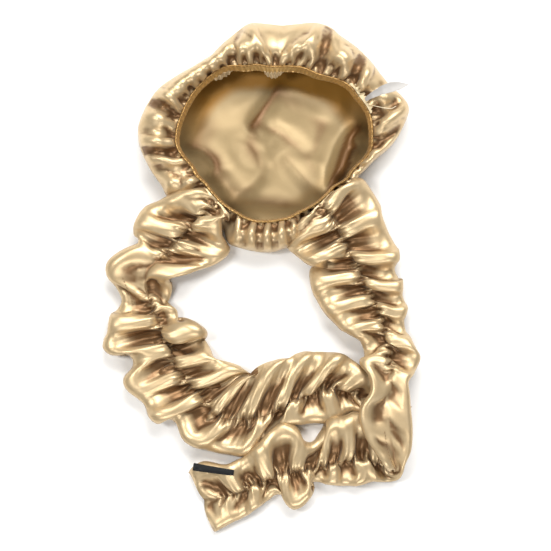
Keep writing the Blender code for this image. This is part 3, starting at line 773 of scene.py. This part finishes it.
def lay_tie(name, folds, seed, still):
    """Lays a tube flat along its seam and edges, then lets the cloth at the seam grow to the length that
    the shirring gathered up. The two edges are held softly where the table of folds has them. still are
    the points of the cloth beneath it."""
    chance = np.random.default_rng(seed)
    line = smooth_line(np.array(folds, float), 80)
    gone = walked(np.sqrt((np.diff(line[:, :3], axis=0) ** 2).sum(1)))
    way = walked((line[1:, 9] + line[:-1, 9]) / 2 * np.diff(gone))
    rows = int(round(way[-1] / TIE_THREAD)) + 1
    places = np.linspace(0, way[-1], rows)
    columns = np.stack([np.interp(places, way, column) for column in line.T])
    seam, left, right, shirred = columns[:3], columns[3:6], columns[6:9], columns[9]
    for edge in (left, right):
        out = edge[:2] - seam[:2]
        edge[:2] += out / (np.hypot(*out) + 1e-9) * TURNED_BACK
    spacing = np.gradient(np.interp(places, way, gone))
    aim = np.gradient(seam[:2], axis=1)
    aim /= np.hypot(*aim) + 1e-9
    sideways = np.stack([-aim[1], aim[0]])

    q = TIE_COLUMNS // 4
    r = np.arange(TIE_COLUMNS)
    v = np.where(r <= 2 * q, r / q - 1, 3 - r / q)  # -1 at the right edge, 1 at the left
    upper = np.where(r <= 2 * q, 1.0, -1.0)
    edge = np.where(v > 0, left[:, :, None], right[:, :, None])
    start = seam[:, :, None] + (edge - seam[:, :, None]) * np.abs(v)
    start[2] += upper * np.where(np.abs(v) > 0.999, 0, 1.2 + 4.0 * (1 - v ** 2) * np.abs(v) ** 0.5)
    start[2] = np.maximum(start[2], 1.0)
    laid = np.maximum(lengths(np.diff(start, axis=1)), 0.4)
    at_seam = (shirred[1:] + shirred[:-1])[:, None] / 2
    slack = 1 + (LOOSE - 1) * np.clip((at_seam - 1) / 0.3, 0, 1)
    grown = slack + np.maximum(at_seam - slack, 0) * (1 - np.abs(v)) ** SEAM_FADE
    around = lengths(np.roll(start, -1, 2) - start)
    around *= 1 + 0.05 * np.clip((shirred[:, None] - 1) / 0.3, 0, 1)
    start += chance.normal(0, 0.08, start.shape)
    free = np.ones((rows, TIE_COLUMNS))
    free[:, [q, 3 * q]] = 0
    free[:2] = 0
    beside = np.zeros(len(still), bool)
    for k in range(0, rows, 12):
        beside |= np.hypot(still[:, 0] - seam[0, k], still[:, 1] - seam[1, k]) < BENEATH
    cloth = Cloth(start, free, still[beside], ((2, 0.6), (4, 0.45), (8, 0.25)), ((2, 0.5), (4, 0.35)))
    zigzag, gather_lean = gathers(rows // GATHER, rows, seed + 1)
    zigzag = zigzag * np.clip((shirred - 1) / 0.4, 0, 1)
    sewn_in = cloth.at[:, :2].copy()
    both_layers = seam[:, :, None] + np.array([[[0, 0]], [[0, 0]], [[0.6, -0.6]]])

    def sewn(step):
        share = min(1.0, (step + 1) / (SOLVER_STEPS * SEAM_GROWS))
        cloth.cut(laid * (1 + (grown - 1) * share), around)
        now = spacing * (1 + (shirred - 1) * share)
        size = RIM_SIZE * zigzag * np.sqrt(np.maximum(now ** 2 - spacing ** 2, 0))
        move = np.stack([*(sideways * np.sin(gather_lean) * size), np.cos(gather_lean) * size])
        cloth.at[:, :, [q, 3 * q]] = both_layers + move[:, :, None]
        cloth.at[:, :2] = sewn_in

    def drawn(step):
        k = np.arange(1, 2 * q)  # the free end is stitched flat
        both = (cloth.at[:, -1, k] + cloth.at[:, -1, TIE_COLUMNS - k]) / 2
        cloth.at[:, -1, k] = both
        cloth.at[:, -1, TIE_COLUMNS - k] = both
        bulge(cloth, 0.02, 1.0)
        for fold, aimed in ((0, right), (2 * q, left)):
            missing = (aimed - cloth.at[:, :, fold]) * 0.25
            missing[2] *= 0.6
            missing *= np.minimum(1, 1 / (lengths(missing) + 1e-9))
            for k, share in ((-2, 0.3), (-1, 0.7), (0, 1), (1, 0.7), (2, 0.3)):
                column = (fold + k) % TIE_COLUMNS
                cloth.at[:, :, column] += (missing * share * cloth.free[:, column]).astype(real)

    def may_touch(i, j):
        ring_i, ring_j = i % TIE_COLUMNS, j % TIE_COLUMNS
        row_i, row_j = i // TIE_COLUMNS, j // TIE_COLUMNS
        side = np.abs(ring_i - ring_j)
        side = np.minimum(side, TIE_COLUMNS - side)
        apart = (np.abs(row_i - row_j) * TIE_THREAD) ** 2 + (side * TIE_CROSS_THREAD) ** 2
        by_seam = (np.abs(ring_i % (2 * q) - q) < 2) & (np.abs(ring_j % (2 * q) - q) < 2)
        at_end = (row_i > rows - 4) & (row_j > rows - 4)
        return (apart > (LAYER_GAP * APART) ** 2) & ~by_seam & ~at_end

    settle(cloth, sewn, may_touch, drawn)
    drawn(0)
    half_left, half_right = around[:, q:2 * q].sum(1), around[:, :q].sum(1)
    across = v * np.where(v > 0, half_left[:, None], half_right[:, None])
    across += np.where(upper > 0, 0, UNDERSIDE)
    down = walked((laid * grown).mean(1))[:, None] * np.ones(TIE_COLUMNS)
    points = cloth.at.astype(float)
    # painted shade: a thin dark line along both folded edges of the tie
    tie = sew_grid(name, points, np.stack([across, down]), 0.5 * np.exp(-((1 - np.abs(v)) / 0.07) ** 2))
    plain = np.clip((1.35 - shirred[:, None]) / 0.3, 0, 1) * np.ones(v.shape)
    vertex_values(tie.data, "plain", plain)
    vertex_values(tie.data, "pleats", (1 - plain) * np.exp(-np.abs(v) / 0.25))
    area = float((laid * grown * (around[1:] + around[:-1]) / 2).sum()) / 2
    length = float((laid * grown).sum(0).mean())
    return tie, points, (area / length * 0.001, length * 0.001)


def dress_tie(tie, name, material, flat):
    tie.data.materials.append(satin(material, "dcc59e", "c6aa7e", 0.42, (20.0, 48.0)))
    soften(tie)
    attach(tie, "root")
    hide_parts(name)


crown_still = crown_points.reshape(3, -1).T
left_tie, left_points, left_flat = lay_tie("left_shirred_tie", LEFT_TIE, 3, crown_still)
dress_tie(left_tie, "left_tie", "champagne_satin_left", left_flat)

# -------------------------------------------------------------------------------- right tie
# The same tube of satin on the other side. It comes down over the left tie's end, turns back under its
# own plain panel, and its unshirred end lies flat at the front of the table.

RIGHT_TIE = (
    (63, 76, 36, 76, 89, 36, 51, 64, 36, 1.5), (69, 71, 36, 92, 94, 36, 47, 60, 35, 1.7),
    (76, 64, 34, 109, 105, 30, 38, 49, 28, 1.8), (81, 57, 31, 121, 93, 18, 29, 35, 12, 1.8),
    (86, 49, 28, 130, 76, 14, 29, 28, 14, 1.8), (90, 40, 25, 133, 62, 22, 41, 20, 16, 1.8),
    (94, 31, 22, 143, 43, 10, 54, 10, 20, 1.8), (98, 23, 20, 150, 29, 18, 74, 13, 12, 1.8),
    (103, 14, 18, 152, 18, 22, 55, 6, 8, 1.8), (107, 5, 18, 146, 6, 8, 55, -8, 16, 1.8),
    (110, -4, 18, 154, -2, 18, 57, -19, 18, 1.8), (116, -14, 18, 155, -13, 20, 62, -29, 10, 1.8),
    (121, -23, 18, 155, -24, 10, 69, -40, 14, 1.8), (127, -34, 18, 160, -37, 16, 78, -50, 12, 1.8),
    (131, -45, 18, 156, -49, 8, 87, -59, 14, 1.8), (134, -56, 19, 160, -60, 16, 96, -64, 16, 1.8),
    (136, -67, 20, 164, -71, 14, 106, -71, 22, 1.8), (139, -76, 22, 169, -83, 22, 113, -82, 14, 1.8),
    (140, -85, 24, 174, -93, 16, 113, -89, 20, 1.8), (141, -94, 28, 167, -103, 22, 108, -94, 24, 1.6),
    (142, -103, 31, 162, -112, 26, 110, -101, 30, 1.3), (140, -113, 33, 158, -117, 31, 116, -109, 33, 1.0),
    (140, -124, 34, 160, -127, 32, 121, -124, 34, 1.0), (136, -137, 34, 161, -140, 33, 111, -138, 34, 1.0),
    (136, -150, 34, 162, -152, 33, 107, -150, 34, 1.0), (138, -163, 33, 163, -166, 32, 110, -166, 33, 1.0),
    (140, -177, 31, 163, -179, 31, 117, -180, 31, 1.0), (143, -190, 28, 161, -192, 29, 127, -193, 28, 1.0),
    (145, -202, 24, 154, -204, 25, 136, -205, 24, 1.0), (147, -212, 18, 150, -215, 20, 143, -214, 18, 1.0),
    (144, -214, 11, 148, -221, 8, 141, -206, 12, 1.1), (137, -211, 10, 141, -223, 6, 133, -192, 11, 1.3),
    (127, -205, 12, 131, -225, 10, 122, -179, 14, 1.5), (113, -202, 14, 118, -226, 6, 111, -153, 22, 1.7),
    (100, -202, 15, 103, -229, 12, 101, -149, 18, 1.8), (87, -204, 15, 89, -229, 6, 89, -154, 24, 1.8),
    (74, -207, 15, 75, -227, 12, 75, -156, 16, 1.8), (61, -211, 15, 58, -225, 6, 66, -170, 8, 1.8),
    (47, -213, 15, 55, -236, 14, 50, -180, 14, 1.8), (36, -214, 15, 48, -247, 18, 37, -168, 10, 1.8),
    (28, -215, 14, 37, -255, 10, 25, -160, 24, 1.8), (20, -217, 14, 30, -247, 6, 12, -169, 20, 1.8),
    (11, -222, 14, 20, -246, 16, -3, -184, 24, 1.8), (1, -226, 13, 6, -246, 6, -14, -194, 20, 1.8),
    (-10, -230, 13, -6, -254, 14, -25, -202, 20, 1.8), (-21, -236, 13, -16, -262, 6, -38, -207, 18, 1.6),
    (-32, -240, 11, -28, -267, 10, -52, -205, 15, 1.4), (-43, -244, 9, -38, -273, 6, -64, -203, 12, 1.2),
    (-53, -245, 7, -46, -278, 4, -74, -210, 8, 1.0), (-62, -246, 5, -51, -279, 3, -76, -218, 5, 1.0),
)

both_still = np.concatenate([crown_still, left_points.reshape(3, -1).T])
right_tie, right_points, right_flat = lay_tie("right_shirred_tie", RIGHT_TIE, 4, both_still)
dress_tie(right_tie, "right_tie", "champagne_satin_right", right_flat)

# -------------------------------------------------------------------------------- care label
# A short blank white satin ribbon, sewn in beside the band and cut to a point. It stands up over the
# gathers and curls a little.

LABEL_ROOT, LABEL_TURN, LABEL_HEADING, LABEL_LONG = 2.9, 24.5, 18.0, 48.0
# Share of its length, height, width, and how far its sides curl up.
LABEL_CUTS = np.array([
    (0.00, 43, 4.5, 0.3), (0.14, 52, 6.0, 0.7), (0.40, 60, 9.5, 1.3),
    (0.60, 62, 11.0, 1.2), (0.80, 61.5, 8.5, 0.7), (1.00, 60, 1.2, 0.1),
])


def ribbon_mesh(name, place, along, across, thick):
    """A ribbon of this wall, its corners at place(share along, side from -1 to 1) in millimetres."""
    u, side = np.meshgrid(np.linspace(0, 1, along), np.linspace(-1, 1, across), indexing="ij")
    points = np.stack(place(u, side), -1).reshape(-1, 3) * 0.001
    index = np.arange(along * across).reshape(along, across)
    faces = np.stack([index[:-1, :-1], index[1:, :-1], index[1:, 1:], index[:-1, 1:]], -1).reshape(-1, 4)
    mesh = bpy.data.meshes.new(name)
    mesh.from_pydata(points.tolist(), [], faces.tolist())
    cut_map(mesh, np.stack([u, side], -1).reshape(-1, 2)[faces.ravel()])
    mesh.shade_smooth()
    piece = in_scene(name, mesh)
    wall = piece.modifiers.new("wall", "SOLIDIFY")
    wall.thickness = thick * 0.001
    wall.offset = 0
    soften(piece)
    return piece


def woven_ribbon(name, light, dark, ribs, waver, cloud, relief):
    """Ribbon with ribs across it, in two tones that cloud (scale, detail) mixes. relief is how far its
    ribs stand out, in metres, and how strongly they show."""
    material, shader = new_material(name)
    uv = node(material, "UVMap", {"uv_map": "cut"}).outputs["UV"]
    along = node(material, "Mapping", None, Vector=uv, Scale=(1.0, 0.0, 1.0)).outputs["Vector"]
    weave = node(material, "TexWave", {"wave_type": "BANDS"}, Vector=along, Scale=ribs, Distortion=waver)
    patches = node(material, "TexNoise", None, Vector=uv, Scale=cloud[0], Detail=cloud[1])
    node(material, "Mix", MIXED, shader.inputs["Base Color"], i0=patches.outputs["Fac"], i6=linear(light),
         i7=linear(dark))
    node(material, "Bump", None, shader.inputs["Normal"], Height=weave.outputs["Fac"], Distance=relief[0],
         Strength=relief[1])
    shader.inputs["Roughness"].default_value = 0.5
    return material, shader


def label_place(u, side):
    height, width, curl = (np.interp(u, LABEL_CUTS[:, 0], LABEL_CUTS[:, k]) for k in (1, 2, 3))
    heading, at = math.radians(LABEL_HEADING), math.radians(LABEL_TURN)
    root = float(round_at([LABEL_TURN])[1][0]) + LABEL_ROOT
    swing = 2.2 * np.sin(u * math.pi) - 1.0 * u
    across = side * width / 2 + swing
    x = BONNET_X + root * math.cos(at) + u * LABEL_LONG * math.cos(heading) - across * math.sin(heading)
    y = BONNET_Y + root * math.sin(at) + u * LABEL_LONG * math.sin(heading) + across * math.cos(heading)
    return x, y, height + curl * side ** 2 + 0.5 * side * np.sin(u * 5)


care_label = ribbon_mesh("white_care_label", label_place, 40, 9, 0.3)
# white polyester satin ribbon, drawn a light grey so that it stands out from the white table
white, shader = woven_ribbon("white_polyester_ribbon", "b5b2ae", "a6a29d", 14.0, 0.6, (5.0, 3.0),
                             (0.0001, 0.4))
shader.inputs["Sheen Weight"].default_value = 0.1
care_label.data.materials.append(white)
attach(care_label, "root")
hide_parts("care_label")

# -------------------------------------------------------------------------------- end tab
# A short tab of black grosgrain ribbon, woven with ribs across it. It is stitched flat over the right
# tie's plain end, near its upper corner.

TAB_FROM, TAB_TO, TAB_WIDE = (-74.0, -209.0), (-29.0, -215.0), 8.5
TIE_END_ROWS = 110                          # rows of the right tie's grid that lie at its plain end


def top_of(cloth, x, y, reach):
    """The height of the highest of the cloth's points within reach of each x, y."""
    points = cloth.reshape(3, -1)
    away = np.hypot(x[..., None] - points[0], y[..., None] - points[1])
    return np.where(away < reach, points[2], 0).max(-1)


def tab_place(u, side):
    """The tab's corners, set on the settled cloth of the tie's end."""
    run = np.array(TAB_TO) - np.array(TAB_FROM)
    over = np.array([-run[1], run[0]]) / np.hypot(*run) * TAB_WIDE * (0.5 - 0.12 * u[..., None])
    x, y = np.moveaxis(np.array(TAB_FROM) + u[..., None] * run + side[..., None] * over, -1, 0)
    return x, y, top_of(right_points[:, -TIE_END_ROWS:], x, y, 4.0) + 1.0 - 0.3 * side ** 2


end_tab = ribbon_mesh("black_end_tab", tab_place, 30, 7, 0.5)
# grosgrain, whose ribs stand out more than a satin ribbon's
black, shader = woven_ribbon("black_grosgrain_ribbon", "050607", "0c0e10", 11.0, 0.3, (6.0, 2.0),
                             (0.00025, 0.6))
shader.inputs["Specular IOR Level"].default_value = 0.3
shader.inputs["Sheen Weight"].default_value = 0.05
end_tab.data.materials.append(black)
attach(end_tab, "root")
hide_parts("end_tab")

# -------------------------------------------------------------------------------- gathered edge
# The crown's raw gathered edge is folded in under the casing. At the back it bunches out from under the
# band in two places, as small pleats of the same satin that hang down over the base.

# Angles from and to, pleats, how far the bunch hangs out.
BUNCHES = {"back_gathered_edge": (80.0, 95.0, 6, 8.5), "left_gathered_edge": (118.0, 131.0, 4, 7.5)}

for name, (first, last, pleats, hang) in BUNCHES.items():
    def bunch_place(u, side):
        down = (side + 1) / 2
        turns = np.radians(first + (last - first) * (u + 0.06 * down * np.sin(u * 9)))
        under = BAND_DEPTH - 2.0 + down * hang * np.sqrt(np.sin(math.pi * np.clip(u, 0.02, 0.98)))
        pleat = np.sin(2 * math.pi * pleats * u + 0.8 * np.sin(u * 7))
        inward = -0.6 - 1.2 * down + 1.1 * pleat * (0.35 + 0.65 * down)
        place = band_surface(turns.ravel(), under.ravel(), inward.ravel())
        return place.reshape((3,) + u.shape)

    bunch = ribbon_mesh(name, bunch_place, pleats * 14, 10, 0.4)
    bunch.data.materials.append(champagne)
    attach(bunch, "root")

# -------------------------------------------------------------------------------- backing scrap
# A frayed scrap of cream backing fleece, left between the band and the label's root when the seam was
# sewn. Its fibres are matted and dull beside the satin.

SCRAP_FROM, SCRAP_TO, SCRAP_WIDE = 37.0, 16.5, 6.5


def scrap_place(u, side):
    turns = np.radians(SCRAP_FROM + (SCRAP_TO - SCRAP_FROM) * u)
    torn = 0.75 + 0.3 * np.sin(u * 23) * np.sin(u * 9 + 1) + 0.25 * np.sin(u * 61) * (side > 0.3)
    reach = 0.4 + SCRAP_WIDE * (side + 1) / 2 * torn * np.sin(math.pi * np.clip(u, 0.04, 0.96)) ** 0.4
    out = round_at(np.degrees(turns).ravel())[1].reshape(u.shape) + reach
    x, y = BONNET_X + out * np.cos(turns), BONNET_Y + out * np.sin(turns)
    gathers_there = crown_points[:, :24].reshape(3, -1)
    gathers_there = gathers_there[:, (gathers_there[0] > 80) & (gathers_there[1] > 150)]
    lies_on = np.maximum(top_of(gathers_there, x, y, 2.2), 40.0)
    return x, y, lies_on + 0.7 + 0.3 * np.sin(u * 40 + side * 3)


scrap = ribbon_mesh("frayed_backing_scrap", scrap_place, 90, 9, 0.3)
# matted polyester fleece, dull and pale, its fibres drawn out across the scrap
fleece, shader = new_material("cream_backing_fleece")
uv = node(fleece, "UVMap", {"uv_map": "cut"}).outputs["UV"]
drawn_out = node(fleece, "Mapping", None, Vector=uv, Scale=(40.0, 2.0, 1.0)).outputs["Vector"]
fibres = node(fleece, "TexNoise", None, Vector=drawn_out, Scale=3.0, Detail=5.0, Roughness=0.7)
node(fleece, "Mix", MIXED, shader.inputs["Base Color"], i0=fibres.outputs["Fac"], i6=linear("e3d4b2"),
     i7=linear("bda679"))
node(fleece, "Bump", None, shader.inputs["Normal"], Height=fibres.outputs["Fac"], Distance=0.0003,
     Strength=0.6)
shader.inputs["Roughness"].default_value = 0.85
scrap.data.materials.append(fleece)
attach(scrap, "root")

# -------------------------------------------------------------------------------- sewing threads
# Polyester thread: two rows of stitches along the casing, the elastic thread in both ties' shirring, the
# stitches that close the tubes, and a loose end beside the label.


def on_cloth(line, cloth, near_by):
    """The line x, y laid on the highest of the cloth's points near it."""
    x, y = np.asarray(line, float).T
    return np.stack([x, y, top_of(cloth, x, y, near_by)], 1)


def stitches(line, long, gap):
    """Short pieces of the line, each of this length with this gap behind it."""
    line = np.asarray(line, float)
    gone = walked(np.linalg.norm(np.diff(line, axis=0), axis=1))
    dashes = []
    for k in range(int(gone[-1] / (long + gap))):
        places = k * (long + gap) + np.linspace(0, long, 4)
        dashes.append(np.stack([np.interp(places, gone, axis) for axis in line.T], 1))
    return dashes


def thread_mesh(name, lines, radius, material):
    """Round threads along lines of points, in millimetres, with flat ends."""
    corners, faces, sides = [], [], 6
    angles = np.arange(sides) * 2 * math.pi / sides
    for line in lines:
        line = np.asarray(line, float)
        ahead = np.gradient(line, axis=0)
        ahead /= np.linalg.norm(ahead, axis=1)[:, None] + 1e-9
        across = np.cross((0.1, 0.05, 1.0), ahead)
        across /= np.linalg.norm(across, axis=1)[:, None] + 1e-9
        up = np.cross(ahead, across)
        base = len(corners)
        for at, a, b in zip(line, across, up):
            corners += [(at + radius * (math.cos(t) * a + math.sin(t) * b)) * 0.001 for t in angles]
        for k in range(len(line) - 1):
            for j in range(sides):
                m = (j + 1) % sides
                p = base + k * sides
                faces.append((p + j, p + m, p + sides + m, p + sides + j))
        faces.append(tuple(range(base + sides - 1, base - 1, -1)))
        faces.append(tuple(range(len(corners) - sides, len(corners))))
    mesh = bpy.data.meshes.new(name)
    mesh.from_pydata([tuple(corner) for corner in corners], [], faces)
    mesh.shade_smooth()
    mesh.materials.append(material)
    piece = in_scene(name, mesh)
    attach(piece, "root")


def sewing_thread(name, shade, other):
    """Twisted polyester thread, with a soft gloss along its plies."""
    material, shader = new_material(name)
    place = node(material, "TexCoord").outputs["Object"]
    plies = node(material, "TexWave", {"wave_type": "BANDS"}, Vector=place, Scale=900.0, Distortion=2.0)
    node(material, "Mix", MIXED, shader.inputs["Base Color"], i0=plies.outputs["Fac"], i6=linear(shade),
         i7=linear(other))
    node(material, "Bump", None, shader.inputs["Normal"], Height=plies.outputs["Fac"], Distance=0.00008,
         Strength=0.5)
    shader.inputs["Roughness"].default_value = 0.45
    shader.inputs["Sheen Weight"].default_value = 0.2
    return material


gold_thread = sewing_thread("gold_polyester_thread", "8a6432", "6d4a20")
pale_thread = sewing_thread("cream_polyester_thread", "efe3c8", "d8c59c")
all_round = np.linspace(0, 2 * math.pi, 1441)
casing_rows = []
for u in STITCH_ROWS:
    casing_rows += stitches(band_surface(all_round, u, -0.85).T, 2.6, 1.0)
thread_mesh("casing_stitches", casing_rows, 0.24, gold_thread)

LEFT_CLOSING = ((-151, -3), (-147, -13), (-143, -23), (-139, -36))
RIGHT_CLOSING = ((134, -170), (136, -183), (139, -196), (144, -208), (149, -218))
closing = []
for line, cloth in ((LEFT_CLOSING, left_points), (RIGHT_CLOSING, right_points)):
    closing += stitches(on_cloth(smooth_line(line, 12), cloth, 4.0) + (0, 0, 0.45), 2.2, 1.6)
thread_mesh("closing_stitches", closing, 0.28, gold_thread)

shirring = []
for points, folds in ((left_points, LEFT_TIE), (right_points, RIGHT_TIE)):
    seam = points[:, :, TIE_COLUMNS // 4].T + (0, 0, 0.5)
    kept = seam[4:int(len(seam) * (0.93 if folds is LEFT_TIE else 0.985))]
    # every second run is the right tie's plain panel, where it crosses the left one
    plain = np.hypot(kept[:, 0] - 140, kept[:, 1] + 155) < 55
    runs = np.split(kept, np.flatnonzero(np.diff((plain & (folds is RIGHT_TIE)).astype(int))) + 1)
    shirring += [run for k, run in enumerate(runs) if k % 2 == 0 and len(run) > 3]
thread_mesh("shirring_threads", shirring, 0.3, gold_thread)

LOOSE_END = (
    (120.5, 182.5, 50.0), (127.0, 180.0, 55.5), (134.5, 178.3, 57.0), (141.0, 178.0, 56.5),
    (146.0, 180.5, 56.5),
)
thread_mesh("loose_thread", [smooth_line(LOOSE_END, 8)], 0.35, pale_thread)
